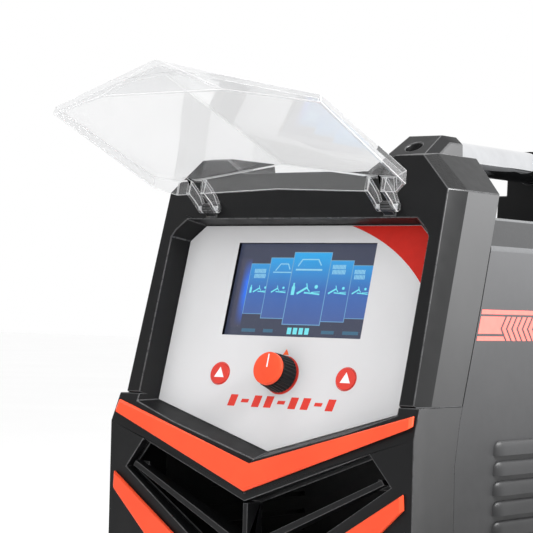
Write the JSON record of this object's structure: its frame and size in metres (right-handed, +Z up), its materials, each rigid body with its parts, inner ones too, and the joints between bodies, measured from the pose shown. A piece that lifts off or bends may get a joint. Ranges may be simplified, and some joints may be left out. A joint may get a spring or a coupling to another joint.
{
  "type": "tig welding machine",
  "caption": "Compact inverter welding power source with tilted display panel, clear flip-up lid, tube carrying handle and louvred metal case.",
  "frame": {"origin": "middle of the bounding box, on the floor under the feet, with the lid open as it stands at rest", "axes": "+X to the machine's side that is on the right seen from the front, +Y from the control panel to the fan, +Z up"},
  "size_m": [0.2128, 0.5778, 0.3814],
  "materials": {
    "black_plastic": "fine moulded grain, satin",
    "case_paint": "dark grey powder coat, fine texture",
    "orange_trim": "orange, slightly glossy",
    "panel_film": "silver grey printed film, satin",
    "screen": "lit colour display",
    "clear_plastic": "clear moulded plastic, polished",
    "chrome": "polished plating",
    "steel": "zinc plated",
    "brass": "turned",
    "rubber": "matte",
    "circuit_board": "solder mask",
    "aluminium": "extruded",
    "copper_winding": "varnished winding",
    "red_plastic": "satin red",
    "gas_hose": "smooth hose"
  },
  "bodies": {
    "chassis": {"front_shell": "black_plastic", "rear_shell": "black_plastic", "intake_grille": "black_plastic", "handle_front_support": "black_plastic", "handle_rear_support": "black_plastic", "socket_bezel_left": "black_plastic", "socket_bezel_right": "black_plastic", "rocker_frame": "black_plastic", "fan_frame": "black_plastic", "cable_gland": "black_plastic", "button_switch_left": "black_plastic", "button_switch_right": "black_plastic", "hf_unit": "black_plastic", "capacitor_1": "black_plastic", "capacitor_2": "black_plastic", "capacitor_3": "black_plastic", "case_cover": "case_paint", "chevron_trim": "orange_trim", "trim_left": "orange_trim", "trim_right": "orange_trim", "control_panel": "panel_film", "lcd_module": "screen", "lcd_window": "clear_plastic", "handle_tube": "chrome", "remote_socket": "chrome", "fan_guard": "chrome", "base_tray": "steel", "lid_pin_left": "steel", "lid_pin_right": "steel", "encoder_body": "steel", "handle_bolt_front": "steel", "handle_bolt_rear": "steel", "socket_contact_left": "brass", "socket_contact_right": "brass", "gas_outlet": "brass", "gas_inlet": "brass", "gas_valve": "brass", "earth_bolt": "brass", "foot_front_left": "rubber", "foot_front_right": "rubber", "foot_rear_left": "rubber", "foot_rear_right": "rubber", "control_board": "circuit_board", "power_board": "circuit_board", "heatsink_input": "aluminium", "heatsink_output": "aluminium", "transformer": "copper_winding", "output_inductor": "copper_winding", "gas_hose": "gas_hose"},
    "lid": {"lid": "clear_plastic"},
    "knob_stem": {"encoder_shaft": "steel"},
    "knob": {"knob": "black_plastic", "knob_cap": "orange_trim"},
    "button_left": {"button_left": "red_plastic"},
    "button_right": {"button_right": "red_plastic"},
    "fan_rotor": {"fan_rotor": "black_plastic"},
    "rocker": {"rocker": "red_plastic"}
  },
  "joints": [
    {"name": "lid_hinge", "type": "hinge", "parent": "chassis", "child": "lid", "pos_m": [0, -0.15684, 0.30954], "axis": [1, 0, 0], "range_deg": [-20, 95]},
    {"name": "knob_press", "type": "slide", "parent": "chassis", "child": "knob_stem", "axis": [0, 0.9617, -0.274], "range_m": [0, 0.0005], "stiffness_N_per_m": 1500},
    {"name": "knob_turn", "type": "hinge", "parent": "knob_stem", "child": "knob", "pos_m": [0, -0.1665, 0.21247], "axis": [0, -0.9617, 0.274], "continuous": true},
    {"name": "button_left_press", "type": "slide", "parent": "chassis", "child": "button_left", "axis": [0, 0.9617, -0.274], "range_m": [0, 0.0008], "stiffness_N_per_m": 900},
    {"name": "button_right_press", "type": "slide", "parent": "chassis", "child": "button_right", "axis": [0, 0.9617, -0.274], "range_m": [0, 0.0008], "stiffness_N_per_m": 900},
    {"name": "fan_spin", "type": "hinge", "parent": "chassis", "child": "fan_rotor", "pos_m": [0, 0.25461, 0.097], "axis": [0, 1, 0], "continuous": true},
    {"name": "rocker_tilt", "type": "hinge", "parent": "chassis", "child": "rocker", "pos_m": [-0.062, 0.26991, 0.244], "axis": [1, 0, 0], "range_deg": [0, 20]}
  ]
}
